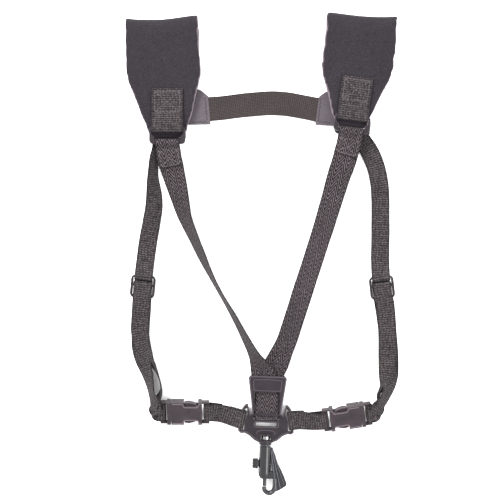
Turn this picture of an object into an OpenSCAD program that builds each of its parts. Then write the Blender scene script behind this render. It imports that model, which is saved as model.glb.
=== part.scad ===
/* [Webbing] */
// Width of the side and lower straps
strap_w = 19; // [18:0.5:20]
// Thickness of the side and lower straps
strap_t = 1.6; // [1.2:0.1:1.6]
// Width of the front tape
tape_w = 25; // [24:0.5:25]
// Thickness of the front tape
tape_t = 1.4; // [1.0:0.1:1.4]
// Width of the tabs sewn on the pads
tab_w = 32; // [28:1:33]
// Width of the elastic cross band
band_w = 26; // [24:1:27]

/* [Pads] */
// Thickness of the pad foam with its cloth
pad_t = 4; // [3:0.2:4.2]
// Height of the fold where the pad goes over the shoulder
fold_h = 22.5; // [20:0.5:24]

/* [Rings] */
// Outer width of a ring
ring_w = 37; // [36:0.5:38]
// Outer height of a ring
ring_h = 18; // [17.5:0.5:18.5]
// Thickness of a ring's bars
ring_t = 3; // [2.6:0.1:3]

/* [Buckles] */
// Length of the buckle socket
socket_l = 39; // [39:1:41]
// Width of both buckle halves
buckle_w = 25; // [25:0.5:26]
// Thickness of both buckle halves
buckle_t = 10; // [9.5:0.5:11]
// Lean of both buckles towards the hook end
buckle_lean = 20; // [18:1:22]

/* [Hook] */
// Radius of the hook's barrel
barrel_r = 6.2; // [6:0.1:6.3]
// Radius of the gate bolt
bolt_r = 2; // [1.8:0.1:2]
// Radius of the swivel stud
stud_r = 2.2; // [2:0.1:2.3]

/* [Hidden] */

cloth = [0.25, 0.22, 0.24];
web = [0.30, 0.27, 0.29];
plastic = [0.33, 0.31, 0.34];
gloss = [0.16, 0.16, 0.18];
pale = [0.62, 0.58, 0.62];

// Places of the rings: [x, y, turn]
left_ring_at = [-98, 124.3, 0];
right_ring_at = [91.5, 136.3, -7];
front_ring_z = 15.4;
left_rear_at = [-98, 128.5, 0];
right_rear_at = [93, 134.8, -7];
rear_ring_z = 3.8;

// Centre group: slide, plate and hook share one axis
centre_at = [4.4, -150, 6.6];
centre_turn = -2;

// Strap slides: [x, y, z, turn]
left_slide_at = [-123.8, -31, 6.2, -5.3];
right_slide_at = [123.2, -32, 6.2, 6.3];

// Buckles: inner end of the socket, and the turn of the buckle's length
left_buckle_at = [-55, -160, 9.8];
left_buckle_turn = 180;
right_buckle_at = [62, -168.5, 9.8];
right_buckle_turn = 8.5;

// Curve through hand-set stations, and a flat strip swept along it.
// A station is [x, y, z, azimuth, tilt]: the last two point along the strip's width.
function unit(v) = v / norm(v);
function bend(a, b, c, d, t) = 0.5 * (2 * b + (c - a) * t
    + (2 * a - 5 * b + 4 * c - d) * t * t + (3 * b - a - 3 * c + d) * t * t * t);
function fine(p, n) = [
    for (i = [0:len(p) - 2], k = [0:n - 1])
        bend(p[max(i - 1, 0)], p[i], p[i + 1], p[min(i + 2, len(p) - 1)], k / n),
    p[len(p) - 1]
];
function station(p) = [p[0], p[1], p[2],
    cos(p[3]) * cos(p[4]), sin(p[3]) * cos(p[4]), sin(p[4])];

module strip(route, w, t, n = 3) {
    s = fine([for (p = route) station(p)], n);
    last = len(s) - 1;
    at = [for (q = s) [q[0], q[1], q[2]]];
    along = [for (i = [0:last]) unit(at[min(i + 1, last)] - at[max(i - 1, 0)])];
    wide = [for (i = [0:last]) let (v = [s[i][3], s[i][4], s[i][5]])
        unit(v - (v * along[i]) * along[i])];
    up = [for (i = [0:last]) cross(along[i], wide[i])];
    corners = [[-1, -1], [1, -1], [1, 1], [-1, 1]];
    points = [for (i = [0:last], c = corners)
        at[i] + wide[i] * c[0] * w / 2 + up[i] * c[1] * t / 2];
    // Both broad faces split along the same diagonal, so the thickness holds in a twist
    sides = [for (i = [0:last - 1], k = [0:3], half = [0, 1])
        let (a = 4 * i + k, b = 4 * i + (k + 1) % 4, c = b + 4, d = a + 4)
            k == 2 ? (half == 0 ? [a, d, b] : [b, d, c])
                : (half == 0 ? [a, c, b] : [a, d, c])];
    ends = [[1, 2, 3], [0, 1, 3], [4 * last + 2, 4 * last + 1, 4 * last],
        [4 * last + 3, 4 * last + 2, 4 * last]];
    polyhedron(points, concat(ends, sides), convexity = 8);
}

// Rectangle with round corners, from squares and circles
module round_rect(w, h, r) {
    square([w - 2 * r, h], center = true);
    square([w, h - 2 * r], center = true);
    for (x = [-1, 1], y = [-1, 1])
        translate([x * (w / 2 - r), y * (h / 2 - r)]) circle(r, $fn = 32);
}

// ---- shoulder pads ----
// Seen from the side, [y, z]: rear half on the floor, fold, front half above
pad_low = 0.6;
fold_y = 237;
r_out = (fold_h - pad_low) / 2;
function fold_arc(r, from, to) = [for (i = [0:10])
    let (a = from + (to - from) * i / 10)
    [fold_y + r * cos(a), pad_low + r_out + r * sin(a)]];

module pad_side(rear_y, front_y) {
    polygon(concat(
        [[rear_y, 2.8], [182, 2.8], [215, 1.2]],
        fold_arc(r_out, -90, 90),
        [[205, 18.6], [170, 13.6], [145, 12], [front_y, 11.8]],
        [[front_y, 11.8 - pad_t], [145, 12 - pad_t], [170, 13.4 - pad_t],
         [205, 18.2 - pad_t]],
        fold_arc(r_out - pad_t, 90, -90),
        [[215, 1.2 + pad_t], [182, 2.8 + pad_t], [rear_y, 2.8 + pad_t]]));
}

module pad(outline, rear_y, front_y) {
    color(cloth) intersection() {
        linear_extrude(40) polygon(outline);
        rotate([90, 0, 90]) translate([0, 0, -150])
            linear_extrude(300) pad_side(rear_y, front_y);
    }
}

left_outline = [[-140, 260], [-66.5, 260], [-66, 235], [-64, 205], [-63, 190],
    [-65.5, 177], [-72, 150], [-79, 126], [-117, 124], [-130, 157], [-138.5, 178],
    [-140.8, 192], [-141.5, 220]];
right_outline = [[68, 260], [138.5, 260], [137.5, 225], [135, 195], [131, 181],
    [120, 160], [107.5, 134], [73.5, 138], [66, 170], [61, 188], [60, 198], [64, 228]];

module left_pad() { pad(left_outline, 140, 124); }
module right_pad() { pad(right_outline, 146, 134); }

// ---- tabs, a strip sewn on the pad and looped round a ring's bar ----
// u runs down the tab from the ring's middle, z is the height
module tab(at, path) {
    color(web) translate([at[0], at[1], 0]) rotate([0, 0, at[2]])
        strip([for (p = path) [0, p[0], p[1], 0, 0]], tab_w, strap_t, 3);
}
seam_from = 23;
seam_to = 46;
tab_low_z = 15.2;
function front_path(top_z) = [[tab_flat_to, top_z], [34, (top_z + tab_low_z) / 2],
    [tab_flat_from, tab_low_z],
    [15, 16.6], [10, 18], [6.1, 18.2], [4.3, 17.3], [4.1, 15.4], [4.3, 13.5], [6.1, 12.8],
    [9, 13.05], [12.5, 13.5]];
left_tab_top = 15.1;
right_tab_top = 16.9;
rear_path = [[44, 0.9], [26, 1.0], [12, 1.1], [8, 1.1], [5.9, 1.2], [4.2, 1.95], [4.05, 3.8],
    [4.2, 5.65], [5.9, 6.4], [7.5, 6.45], [9.2, 6.4]];
module left_front_tab() { tab(left_ring_at, front_path(left_tab_top)); }
module right_front_tab() { tab(right_ring_at, front_path(right_tab_top)); }
module left_rear_tab() { tab(left_rear_at, rear_path); }
module right_rear_tab() { tab(right_rear_at, rear_path); }

// ---- rings ----
bar_h = 3.4;
window_w = ring_w - 3.2;
tape_slot = 26.6;
// The window is as wide as the tab at the top, and low_w wide at the lower bar
module ring(at, z, low_w) {
    top = ring_h / 2 - bar_h;
    wide = window_w / 2;
    color(plastic) translate([at[0], at[1], z - ring_t / 2]) rotate([0, 0, at[2]])
        linear_extrude(ring_t) difference() {
            round_rect(ring_w, ring_h, 4);
            polygon([[-wide, top], [wide, top], [wide, 1.5], [low_w / 2, -2],
                [low_w / 2, -top], [-low_w / 2, -top], [-low_w / 2, -2], [-wide, 1.5]]);
        }
}
module left_front_ring() { ring(left_ring_at, front_ring_z, tape_slot); }
module right_front_ring() { ring(right_ring_at, front_ring_z, tape_slot); }
module left_rear_ring() { ring(left_rear_at, rear_ring_z, window_w); }
module right_rear_ring() { ring(right_rear_at, rear_ring_z, window_w); }

// ---- box-and-cross seams on the front tabs ----
thread_t = 0.5;
thread_w = 1;
seam_w = 25;
// The tab is flat between these two distances from the ring
tab_flat_from = 20;
tab_flat_to = 48;
module seam(at, top_z) {
    long = seam_to - seam_from;
    middle = (seam_to + seam_from) / 2;
    rise = atan((top_z - tab_low_z) / (tab_flat_to - tab_flat_from));
    translate([at[0], at[1], 0]) rotate([0, 0, at[2]])
        translate([0, tab_flat_from, tab_low_z]) rotate([rise, 0, 0])
            translate([0, middle - tab_flat_from, strap_t / 2 + 0.3]) {
                for (x = [-1, 1]) translate([x * seam_w / 2, 0, 0])
                    cube([thread_w, long, thread_t], center = true);
                for (y = [-1, 1]) translate([0, y * long / 2, 0])
                    cube([seam_w + thread_w, thread_w, thread_t], center = true);
                for (turn = [-1, 1]) rotate([0, 0, turn * atan(long / seam_w)])
                    cube([norm([long, seam_w]) - 1, thread_w, thread_t], center = true);
            }
}
module tab_stitching() {
    color(pale) {
        seam(left_ring_at, left_tab_top);
        seam(right_ring_at, right_tab_top);
    }
}

// ---- elastic cross band and the patches that hold its ends ----
band_t = 1.2;
patch_t = 2.4;
band_y = 152;
band_route = [[-64, 152.4, 1.3, 90, 0], [-54, 153, 1.3, 90, 0], [-40, 154.2, 1.5, 90, 0],
    [-20, 156.6, 2.2, 90, 0], [5, 158.7, 2.6, 90, 0], [24, 158, 2.2, 90, 0],
    [40, 155.4, 1.5, 90, 0], [54, 152.6, 1.3, 90, 0], [63, 151, 1.3, 90, 0]];
module elastic_band() { color(cloth) strip(band_route, band_w - 1, band_t, 2); }

module band_patch(outline, inner_x) {
    color(pale) difference() {
        translate([0, 0, 0.1]) linear_extrude(patch_t) polygon(outline);
        translate([inner_x, band_y, 1.3]) cube([24, band_w + 1.5, band_t + 0.4], center = true);
    }
}
module left_band_patch() {
    band_patch([[-65, 173], [-56.5, 166.5], [-54, 137], [-74, 136.5], [-79, 136.5],
        [-79, 173]], -54);
}
module right_band_patch() {
    band_patch([[66, 171], [58.5, 166], [54.5, 136.5], [73.8, 135.5], [75.2, 147.5],
        [76.8, 147.5], [76.8, 171]], 54);
}

// ---- front tape: one piece from ring to ring, doubled through slide and plate ----
tape_route = [
    [-94.2, 92.5, 13.9, 0, 6], [-95.2, 98, 14.2, 0, 2.5], [-96.2, 104, 14.7, 0, 0.5],
    [-96.8, 109.4, 14.9, 0, 0], [-97.2, 112, 15.6, 0, 0], [-97.6, 114.6, 17.6, 0, 0],
    [-97.8, 116, 18, 0, 0], [-97.8, 118.4, 18.1, 0, 0], [-97.8, 120, 17.2, 0, 0],
    [-97.8, 120.1, 15.4, 0, 0], [-97.8, 120, 13.6, 0, 0], [-97.8, 118.4, 12.7, 0, 0],
    [-97.7, 114.5, 12.7, 0, 0], [-97, 108.5, 12.7, 0, 0], [-96, 102, 12.5, 0, 0.5],
    [-94.6, 96, 12, 0, 3], [-92.6, 88, 11.5, 0, 12], [-90.5, 80, 11.2, 0, 22],
    [-85.2, 60, 11.2, 0, 39], [-79.8, 40, 12, 0, 53],
    [-71.3, 20, 12.6, 0, 62], [-62.5, 0, 12.9, 0, 67], [-53, -20, 13.2, 0, 75],
    [-42.2, -40, 13.2, 0, 78], [-30.5, -60, 12.9, 0, 74], [-20, -80, 12.6, 0, 70],
    [-9.5, -100, 11.8, 0, 60], [-4.2, -110, 10.4, 0, 40], [-0.5, -118, 8.6, 0, 14],
    [2.4, -125, 7.8, -2, 2], [4.8, -136, 7.6, -2, 0], [4.3, -155, 7.7, -2, 0],
    [4.1, -161, 8.2, -2, 0], [4, -164.2, 8.9, -2, 0], [3.9, -166.4, 9.1, -2, 0],
    [3.8, -167.5, 8.4, -2, 0], [3.8, -167.6, 6.6, -2, 0], [3.8, -167.5, 4.8, -2, 0],
    [3.9, -166.4, 4.1, -2, 0], [4, -164.2, 4.3, -2, 0], [4.1, -161, 4.9, -2, 0],
    [4.3, -155, 5.5, -2, 0],
    [5, -136, 5.5, -2, 0], [7.3, -125, 5.6, 0, 1], [11, -117, 6.1, 0, 7],
    [15.3, -109, 7.2, 0, 17], [20, -98, 8.5, 0, 30], [26.5, -82, 8.7, 0, 35],
    [40, -40, 8.7, 0, 35], [53, 0, 8.7, 0, 35], [65.7, 40, 8.7, 0, 32],
    [77.5, 80, 10, 0, 20], [82, 93, 11.2, -2, 11], [85, 103, 11.9, -4, 5],
    [87.6, 113, 12.4, -6, 1.5], [89.6, 122, 12.7, -7, 0], [90.4, 127.2, 12.8, -7, 0],
    [90.8, 130.4, 12.7, -7, 0], [91, 132, 13.6, -7, 0], [91, 132.1, 15.4, -7, 0],
    [91, 132, 17.2, -7, 0], [90.8, 130.4, 18.1, -7, 0], [90.5, 127.9, 18, -7, 0],
    [90.3, 126.7, 17.6, -7, 0], [90, 124.1, 15.6, -7, 0], [89.6, 121.5, 14.9, -7, 0],
    [88.3, 115.5, 14.7, -6.3, 0.7], [86.6, 109.5, 14.4, -5.2, 2], [85.1, 104.3, 14.2, -4.2, 4.4]
];
module front_tape() { color(web) strip(tape_route, tape_w, tape_t, 3); }

// ---- centre group, drawn about its own axis ----
module centre() { translate(centre_at) rotate([0, 0, centre_turn]) children(); }

slide_top = 27;
slide_end = -13.9;
slide_t = 10;
front_frame_t = 1.6;
back_frame_t = 1.8;
opening_w = 25.8;
module slide_outline() {
    w = 19.7;
    polygon([[-w + 2.5, slide_top], [w - 2.5, slide_top], [w, slide_top - 2.6],
        [w - 0.5, 20], [16, -2], [15, -10], [15, slide_end], [-15, slide_end], [-15, -10],
        [-16, -2], [0.5 - w, 20], [-w, slide_top - 2.6]]);
}
module front_slide() {
    color(plastic) centre() {
        // Front frame with its plain bar and window
        translate([0, 0, slide_t / 2 - front_frame_t])
            linear_extrude(front_frame_t) difference() {
                slide_outline();
                translate([-opening_w / 2, -11.9]) square([opening_w, 22.4]);
            }
        // Back frame with two windows
        translate([0, 0, -slide_t / 2]) linear_extrude(back_frame_t) difference() {
            slide_outline();
            for (y = [-12, 2]) translate([-opening_w / 2, y]) square([opening_w, 10]);
        }
        // Side rails
        translate([0, 0, -slide_t / 2]) linear_extrude(slide_t) difference() {
            slide_outline();
            polygon([[-17.4, 30], [17.4, 30], [17.2, 20], [13.4, -2], [13.4, -20],
                [-13.4, -20], [-13.4, -2], [-17.2, 20]]);
        }
    }
}

// Plate: top bar for the tape, two slots under it, a loop each side, a swivel boss below
plate_t = 4;
tape_bar_t = 2.8;
boss_r = 6.3;
module plate_half() {
    polygon([[0, -14.2], [15.8, -14.2], [17.8, -12.5], [19.2, -6], [19.2, -3], [22, -3], [25, -7],
        [27.3, -16], [28.6, -26], [28.6, -31], [26, -33], [22, -32.5], [17, -35],
        [12, -39.5], [boss_r, -42], [0, -42]]);
}
module plate_loop_gap() {
    polygon([[20.2, -7], [22, -8], [24.5, -17], [25.6, -26], [25.6, -29.6], [22.8, -29.6],
        [22, -20], [19.5, -13]]);
}
module centre_plate() {
    color(plastic) centre() difference() {
        union() {
            translate([0, 0, -plate_t / 2]) linear_extrude(plate_t) difference() {
                union() { plate_half(); mirror([1, 0]) plate_half(); }
                translate([0, -17.75]) round_rect(27, 2.3, 1);
                translate([0, -23.4]) round_rect(22, 4, 1.8);
                plate_loop_gap();
                mirror([1, 0]) plate_loop_gap();
            }
            translate([0, -33, 0]) rotate([90, 0, 0]) cylinder(h = 11, r = boss_r, $fn = 64);
        }
        // The tape's bar is thinner than the plate
        for (side = [-1, 1]) translate([0, -15.4, side * (tape_bar_t + 4) / 2])
            cube([27, 2.6, 4], center = true);
        // Window for the stud's head, and the stud's bore
        translate([0, -37, 0]) cube([10, 5.4, 14], center = true);
        translate([0, -39, 0]) rotate([90, 0, 0]) cylinder(h = 6, r = stud_r + 0.06, $fn = 64);
    }
}

stud_top = -35.2;
stud_end = -50;
head_r = 4.4;
head_t = 3.6;
module swivel_stud() {
    color("silver") centre() translate([0, stud_top, 0]) rotate([90, 0, 0]) {
        cylinder(h = head_t, r = head_r, $fn = 64);
        translate([0, 0, head_t])
            cylinder(h = stud_top - head_t - stud_end, r = stud_r, $fn = 64);
    }
}

// ---- hook: barrel, bent eye, flat wing with ribs ----
bolt_x = 0.3;
eye_t = 6.4;
wing_t = 2.8;
rib_w = 1;
rib_t = 5.2;
tip_r = 4.6;
module hook_outline() {
    polygon([[-6, -72], [-5.8, -76], [-3.2, -79], [8.6, -79], [8.8, -87], [7.8, -89.8],
        [5.8, -91], [3.8, -90], [2.9, -87], [-2.3, -87], [-2.4, -90.5], [-0.8, -94],
        [2.2, -96], [6, -96.5], [10.4, -95], [13, -91.5], [13.4, -86], [12.4, -72]]);
}
module wing_outline() {
    polygon([[3, -47], [7.4, -47], [10.9, -55.7], [13.4, -63], [18.1, -71.5],
        [23.4, -83.2], [23, -86], [18, -89.6], [13, -92.4], [9, -88], [9, -72], [5, -60]]);
}
// Ribs on the wing: from, to
wing_ribs = [[[5.8, -50], [12.6, -90]], [[7, -50], [16.8, -87.5]], [[8.8, -54], [20.6, -84.6]]];
module rib(ends) {
    run = ends[1] - ends[0];
    translate([ends[0][0], ends[0][1], 0]) rotate([0, 0, atan2(run[1], run[0])])
        translate([0, -rib_w / 2, -rib_t / 2]) cube([norm(run), rib_w, rib_t]);
}
module hook_body() {
    color(gloss) centre() difference() {
        union() {
            translate([0, -45, 0]) rotate([90, 0, 0]) cylinder(h = 2, r = 5.2, $fn = 64);
            translate([0, -46, 0]) rotate([90, 0, 0])
                cylinder(h = 27, r = barrel_r, $fn = 64);
            translate([0, -73, 0]) rotate([90, 0, 0])
                cylinder(h = 6, r1 = barrel_r, r2 = tip_r, $fn = 64);
            translate([0, 0, -eye_t / 2]) linear_extrude(eye_t) hook_outline();
            translate([0, 0, -wing_t / 2]) linear_extrude(wing_t) wing_outline();
            for (ends = wing_ribs) rib(ends);
        }
        // Blind bore for the bolt, its spring above it, and the knob's slot
        translate([bolt_x, -52, 0]) rotate([90, 0, 0])
            cylinder(h = 28, r = bolt_r + 0.12, $fn = 48);
        translate([-8, -67.4, -1.2]) cube([8 + bolt_x, 15.4, 2.4]);
        translate([0, -44, 0]) rotate([90, 0, 0]) cylinder(h = 6, r = stud_r, $fn = 64);
    }
}

bolt_top = -60;
module gate_bolt() {
    color(gloss) centre() {
        translate([bolt_x, bolt_top, 0]) rotate([90, 0, 0])
            cylinder(h = 26.8, r = bolt_r, $fn = 48);
        translate([-9.4, -67, -1]) cube([9.4, 7, 2]);
        translate([-12.6, -68.5, -3]) cube([5.4, 10, 6]);
        for (y = [-66.5, -63.5, -60.5]) translate([-13.2, y - 0.5, -3]) cube([1, 1, 6]);
    }
}

spring_r = 1.4;
spring_wire = 0.5;
spring_top = -52.6;
spring_l = 7;
module gate_spring() {
    turns = 5;
    steps = 8 * turns;
    color("silver") centre() translate([bolt_x, 0, 0])
        strip([for (k = [0:steps]) [spring_r * cos(45 * k), spring_top - k * spring_l / steps,
            spring_r * sin(45 * k), 90, 0]], spring_wire, spring_wire, 2);
}

// ---- side straps: rear ring, slide, round the plug's bar, back to the slide ----
left_side_route = [
    [-104, 111, 6.0, 0, 0], [-104, 118, 6.5, 0, 0], [-104, 122.6, 6.4, 0, 0],
    [-104, 124.3, 5.65, 0, 0], [-104, 124.5, 3.8, 0, 0], [-104, 124.3, 1.95, 0, 0],
    [-104, 122.6, 1.2, 0, 0], [-104.1, 117.5, 1.25, 0, 0],
    [-107, 110, 5.6, 0, -34], [-111.5, 101, 9.3, 0, -62], [-113, 88, 9.5, 0, -63],
    [-113, 76, 8.9, 0, -52], [-112.2, 62, 6.6, 0, -34], [-112.6, 50, 4.9, 0, -20],
    [-115, 36, 3, 0, -9], [-118.4, 18, 1.5, 0, -3], [-120.9, 0, 2.2, -3, 0],
    [-122.2, -13, 7, -5.3, 0], [-122.7, -19.6, 8.9, -5.3, 0], [-122.9, -21.7, 9, -5.3, 0],
    [-123.1, -23.4, 8, -5.3, 0], [-123.1, -23.9, 6.2, -5.3, 0], [-123.2, -24.1, 4.2, -5.3, 0],
    [-123.3, -25.4, 2.2, -5.3, 0], [-123.5, -28, 1.25, -5.3, 0], [-124.8, -42, 1.1, -5, 0],
    [-125.6, -58, 1.1, -2, 0], [-126.8, -78, 1.3, 0, 0], [-126.2, -94, 2.8, 0, 8],
    [-123.2, -107, 5.8, 0, 26], [-119.4, -119, 8.2, 0, 46], [-116.4, -131, 9.8, 6, 60],
    [-114.2, -142, 10.6, 20, 66], [-110.2, -152, 12.8, 58, 38], [-108.4, -160, 13, 88, 22],
    [-105.6, -161, 12.8, 90, 20],
    [-102.2, -161.1, 12.8, 90, 20], [-100.5, -160.7, 11.6, 90, 20], [-100.2, -160, 9.8, 90, 20],
    [-100.5, -159.3, 8, 90, 20], [-102.2, -159, 7.1, 90, 20], [-105.6, -159.1, 7, 90, 20],
    [-107.6, -158.8, 7.1, 89.5, 20.5], [-110, -155.4, 8.2, 76, 32], [-107.4, -146, 10.2, 30, 64],
    [-104.6, -138.6, 10.2, 8, 80], [-105.2, -131, 10.2, 2, 83], [-108, -122, 10.2, 0, 80],
    [-112.6, -112, 10, 0, 67], [-118.6, -102.6, 9, 0, 44], [-124, -91, 7.8, 0, 20],
    [-126.8, -76, 6.6, 0, 4], [-126, -60, 6.6, -2, 0], [-125.2, -48, 8, -5, 0],
    [-124.6, -40, 9, -5.3, 0], [-124, -33, 9, -5.3, 0], [-123.5, -28.1, 9, -5.3, 0],
    [-123.4, -26.5, 8.1, -5.3, 0], [-123.4, -26.4, 6.2, -5.3, 0], [-123.4, -26.5, 4.3, -5.3, 0],
    [-123.5, -28.1, 3.4, -5.3, 0], [-124, -33, 3.4, -5.3, 0], [-124.6, -40, 3.3, -5.3, 0],
    [-125.1, -49, 3.8, -5, 0]
];
right_side_route = [
    [102, 116, 5.8, 0, 0], [100.4, 123, 6.4, -7, 0], [99.8, 128, 6.6, -7, 0],
    [99.6, 131.2, 3.8, -7, 0], [99.8, 128, 1.25, -7, 0], [100.8, 124, 1.3, -5, 0],
    [104, 119, 1.5, -2, 0],
    [109.5, 111, 2.4, 0, 0], [115, 99, 3, 0, 6], [118.6, 87, 3.6, 0, 12],
    [121, 72, 3.8, 0, 14], [122, 56, 3.4, 0, 10], [122, 38, 2.4, 0, 6],
    [122.2, 18, 1.3, 0, 0], [121.7, 0, 2.2, 3, 0], [121.5, -13, 7, 6.3, 0],
    [121.9, -20.6, 8.9, 6.3, 0], [122.2, -22.8, 9, 6.3, 0], [122.4, -24.5, 8, 6.3, 0],
    [122.4, -24.9, 6.2, 6.3, 0], [122.4, -25.1, 4.2, 6.3, 0], [122.6, -26.4, 2.2, 6.3, 0],
    [122.9, -29, 1.25, 6.3, 0], [124.6, -43, 1.1, 6, 0], [127, -58, 1.1, 3, 0],
    [129.4, -78, 1.2, 0, 0], [131, -96, 1.4, 0, -2], [131.6, -112, 2.4, 0, -8],
    [131.4, -124, 4.4, -6, -20], [129.6, -136, 7.6, -22, -44], [124.6, -147.8, 10, -42, -54],
    [117.4, -156, 12.6, -64, -36], [114.6, -161.6, 13.2, -80.5, -20.5],
    [112.1, -162.1, 12.9, -81.5, -20],
    [108.8, -162.6, 12.9, -81.5, -20], [107.1, -162.4, 11.6, -81.5, -20],
    [106.7, -161.8, 9.8, -81.5, -20], [106.9, -161.1, 8, -81.5, -20],
    [108.5, -160.6, 7.1, -81.5, -20], [111.8, -160.1, 7.1, -81.5, -20],
    [114.6, -159.4, 7.2, -81, -20.5], [118.2, -156.8, 7.8, -74, -30],
    [119.6, -150.5, 9.2, -58, -56],
    [119.4, -142, 10.2, -42, -74], [124.6, -133.6, 10.6, -24, -58],
    [127.2, -124, 10.2, -8, -30], [128.4, -113, 9.2, -2, -10], [128.8, -100, 8, 0, -3],
    [128.8, -82, 7, 0, 0], [127.8, -62, 6.8, 3, 0], [126.4, -49, 8, 6, 0],
    [124.2, -41, 9, 6.3, 0], [123.4, -34, 9, 6.3, 0], [122.9, -29.1, 9, 6.3, 0],
    [122.7, -27.5, 8.1, 6.3, 0], [122.7, -27.4, 6.2, 6.3, 0], [122.7, -27.5, 4.3, 6.3, 0],
    [122.9, -29.1, 3.4, 6.3, 0], [123.4, -34, 3.4, 6.3, 0], [124.2, -41, 3.3, 6.3, 0],
    [125.3, -50, 3.8, 6, 0]
];
module left_side_strap() { color(web) strip(left_side_route, strap_w, strap_t, 3); }
module right_side_strap() { color(web) strip(right_side_route, strap_w, strap_t, 3); }

// ---- three-bar strap slides ----
slide_w = 25.5;
slide_h = 24;
slide_slot = 20.4;
strap_slide_t = 3;
module strap_slide(at) {
    color(plastic) translate([at[0], at[1], at[2] - strap_slide_t / 2]) rotate([0, 0, at[3]])
        linear_extrude(strap_slide_t) difference() {
            round_rect(slide_w, slide_h, 5);
            translate([0, 6.1]) square([slide_slot, 5.8], center = true);
            translate([0, -4.3]) square([slide_slot, 8.4], center = true);
        }
}
module left_strap_slide() { strap_slide(left_slide_at); }
module right_strap_slide() { strap_slide(right_slide_at); }

// ---- buckles, drawn with their length along +X from the socket's inner end ----
module left_buckle() {
    translate(left_buckle_at) rotate([-buckle_lean, 0, left_buckle_turn]) children();
}
module right_buckle() {
    translate(right_buckle_at) rotate([0, 0, right_buckle_turn])
        rotate([buckle_lean, 0, 0]) children();
}
module slab(x0, x1, w, t) { translate([x0, -w / 2, -t / 2]) cube([x1 - x0, w, t]); }

bar_t = 3.2;
bar_gap = 20.6;
notch_from = 11.5;
notch_to = 26;
plug_end = 50.4;
prong_t = 5;
module socket() {
    difference() {
        union() {
            slab(7.6, socket_l, buckle_w, buckle_t);
            slab(0, 9, buckle_w - 1, bar_t);
            for (s = [-1, 1]) translate([0, s * (buckle_w / 2 - 1.4) - 1.2, -2.6])
                cube([9, 2.4, 5.2]);
        }
        slab(9.6, socket_l + 1, 21, 6.4);
        slab(3.5, 7.6, bar_gap, buckle_t + 1);
        for (s = [-1, 1]) translate([notch_from, s * 12.5 - 4, -buckle_t])
            cube([notch_to - notch_from, 8, 2 * buckle_t]);
    }
}
module plug() {
    base = socket_l + 0.4;
    difference() {
        union() {
            slab(base, 43.4, buckle_w, buckle_t);
            slab(42, plug_end, buckle_w - 1, bar_t);
            for (s = [-1, 1]) translate([42, s * (buckle_w / 2 - 1.4) - 1.2, -2.6])
                cube([plug_end - 42, 2.4, 5.2]);
        }
        slab(43.4, 47, bar_gap, buckle_t + 1);
    }
    slab(13, base + 0.5, 3.2, 4.6);
}
module prong(side) {
    mirror([0, side < 0 ? 1 : 0, 0]) translate([0, 0, -prong_t / 2]) linear_extrude(prong_t)
        polygon([[socket_l + 0.4, 5.9], [socket_l + 0.4, 8.9], [25.6, 8.9], [25.6, 11.6],
            [21, 12.1], [16, 11], [12.8, 8.8], [12, 7.2], [12, 6], [14, 5.6]]);
}
module left_buckle_socket() { color(plastic) left_buckle() socket(); }
module right_buckle_socket() { color(plastic) right_buckle() socket(); }
module left_buckle_plug() { color(plastic) left_buckle() plug(); }
module right_buckle_plug() { color(plastic) right_buckle() plug(); }
module left_upper_prong() { color(plastic) left_buckle() prong(-1); }
module left_lower_prong() { color(plastic) left_buckle() prong(1); }
module right_upper_prong() { color(plastic) right_buckle() prong(1); }
module right_lower_prong() { color(plastic) right_buckle() prong(-1); }

// ---- lower straps: looped on the plate and on the socket's end bar ----
left_lower_route = [
    [-36, -163.9, 4.4, 79, 0], [-29, -166, 3.9, 78, 0], [-24, -167.4, 3.3, 78, 0],
    [-21.3, -168, 3.1, 78, 0], [-19.4, -168.4, 4.1, 78, 0], [-19.1, -168.5, 6.6, 78, 0],
    [-19.4, -168.4, 9.1, 78, 0], [-21.3, -168, 10.1, 78, 0], [-24, -167.4, 9.9, 78, 0],
    [-29, -166, 9.3, 78, 0], [-38, -163, 9, 81, 6], [-45, -161.4, 10.3, 86, 14],
    [-52, -160.9, 12.2, 90, 20], [-58.5, -161, 12.5, 90, 20], [-60, -160.7, 11.7, 90, 20],
    [-60.3, -160, 9.8, 90, 20], [-60, -159.3, 7.9, 90, 20], [-58.5, -159, 7.1, 90, 20],
    [-52, -159.4, 6.9, 90, 20], [-43.5, -161.2, 6.6, 85, 9]
];
right_lower_route = [
    [43, -168.8, 4.5, 96, 0], [36.6, -168.9, 4, 98, 0], [31.6, -169.4, 3.3, 98, 0],
    [28.8, -169.8, 3.1, 98, 0], [26.9, -170.1, 4.1, 98, 0], [26.6, -170.1, 6.6, 98, 0],
    [26.9, -170.1, 9.1, 98, 0], [28.8, -169.8, 10.1, 98, 0], [31.6, -169.4, 9.9, 98, 0],
    [36.6, -168.9, 9.3, 98, 0], [44, -169.4, 9.1, 96, 6], [52, -170, 10.4, 97, 14],
    [59, -169.8, 12.2, 98.5, 20], [65.6, -168.9, 12.5, 98.5, 20],
    [67, -168.4, 11.7, 98.5, 20], [67.2, -167.7, 9.8, 98.5, 20],
    [66.8, -167.1, 7.9, 98.5, 20], [65.3, -167, 7.1, 98.5, 20],
    [59, -168.2, 6.9, 98.5, 20], [50, -169.8, 6.6, 97, 9]
];
module left_lower_strap() { color(web) strip(left_lower_route, strap_w, strap_t, 3); }
module right_lower_strap() { color(web) strip(right_lower_route, strap_w, strap_t, 3); }

left_pad();
right_pad();
left_front_tab();
right_front_tab();
left_rear_tab();
right_rear_tab();
left_front_ring();
right_front_ring();
left_rear_ring();
right_rear_ring();
elastic_band();
left_band_patch();
right_band_patch();
tab_stitching();
front_tape();
front_slide();
centre_plate();
swivel_stud();
hook_body();
gate_bolt();
gate_spring();
left_side_strap();
right_side_strap();
left_strap_slide();
right_strap_slide();
left_buckle_plug();
right_buckle_plug();
left_upper_prong();
left_lower_prong();
right_upper_prong();
right_lower_prong();
left_buckle_socket();
right_buckle_socket();
left_lower_strap();
right_lower_strap();
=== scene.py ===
import math

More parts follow.
